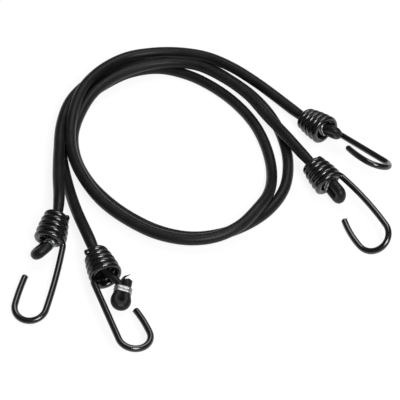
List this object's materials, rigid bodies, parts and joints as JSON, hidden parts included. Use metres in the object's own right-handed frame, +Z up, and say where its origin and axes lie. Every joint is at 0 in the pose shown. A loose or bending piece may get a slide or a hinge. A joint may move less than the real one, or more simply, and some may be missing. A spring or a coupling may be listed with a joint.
{
  "type": "bungee cord",
  "caption": "Elastic bungee cords lying looped together, each with folded and clipped ends held in the coils of bent wire hooks that swivel on the cord.",
  "frame": {"origin": "on the floor, under the middle of the four hooks' box", "axes": "+Z up from the floor the cords lie on, -Y towards the viewer of the picture, +X to the viewer's right"},
  "size_m": [0.2846, 0.311, 0.032],
  "materials": {
    "coated_wire": "gloss black dip coating on steel wire",
    "clip_steel": "bright zinc-plated strip",
    "braid": "fine black polyester braid",
    "core_rubber": "dull black rubber strands"
  },
  "bodies": {
    "cords": {"cord_1_sheath": "braid", "cord_1_core": "core_rubber", "cord_2_sheath": "braid", "cord_2_core": "core_rubber", "clip_a": "clip_steel", "clip_b": "clip_steel"},
    "hook_a": {"hook_a": "coated_wire"},
    "hook_b": {"hook_b": "coated_wire"},
    "end_c": {"clip_c": "clip_steel"},
    "hook_c": {"hook_c": "coated_wire"},
    "end_d": {"clip_d": "clip_steel"},
    "hook_d": {"hook_d": "coated_wire"}
  },
  "joints": [
    {"name": "hook_a_swivel", "type": "hinge", "parent": "cords", "child": "hook_a", "pos_m": [-0.1183, -0.0183, 0.0116], "axis": [-0.1719, -0.9747, -0.1426], "range_deg": [-110, 125]},
    {"name": "hook_b_swivel", "type": "hinge", "parent": "cords", "child": "hook_b", "pos_m": [-0.0743, -0.0523, 0.0116], "axis": [0.3795, -0.9252, 0], "range_deg": [-140, 90]},
    {"name": "cord_2_stretch", "type": "slide", "parent": "cords", "child": "end_c", "axis": [0.6388, -0.7694, 0], "range_m": [0, 0.04], "stiffness_N_per_m": 400, "deforming": ["cord_2_sheath", "cord_2_core"]},
    {"name": "hook_c_swivel", "type": "hinge", "parent": "end_c", "child": "hook_c", "pos_m": [0.0945, 0.0951, 0.0128], "axis": [0.6279, -0.7563, 0.1839], "continuous": true},
    {"name": "cord_1_stretch", "type": "slide", "parent": "cords", "child": "end_d", "axis": [0.5446, -0.8387, 0], "range_m": [0, 0.04], "stiffness_N_per_m": 400, "deforming": ["cord_1_sheath", "cord_1_core"]},
    {"name": "hook_d_swivel", "type": "hinge", "parent": "end_d", "child": "hook_d", "pos_m": [0.0944, 0.0387, 0.0116], "axis": [0.5438, -0.8374, -0.0558], "continuous": true}
  ]
}
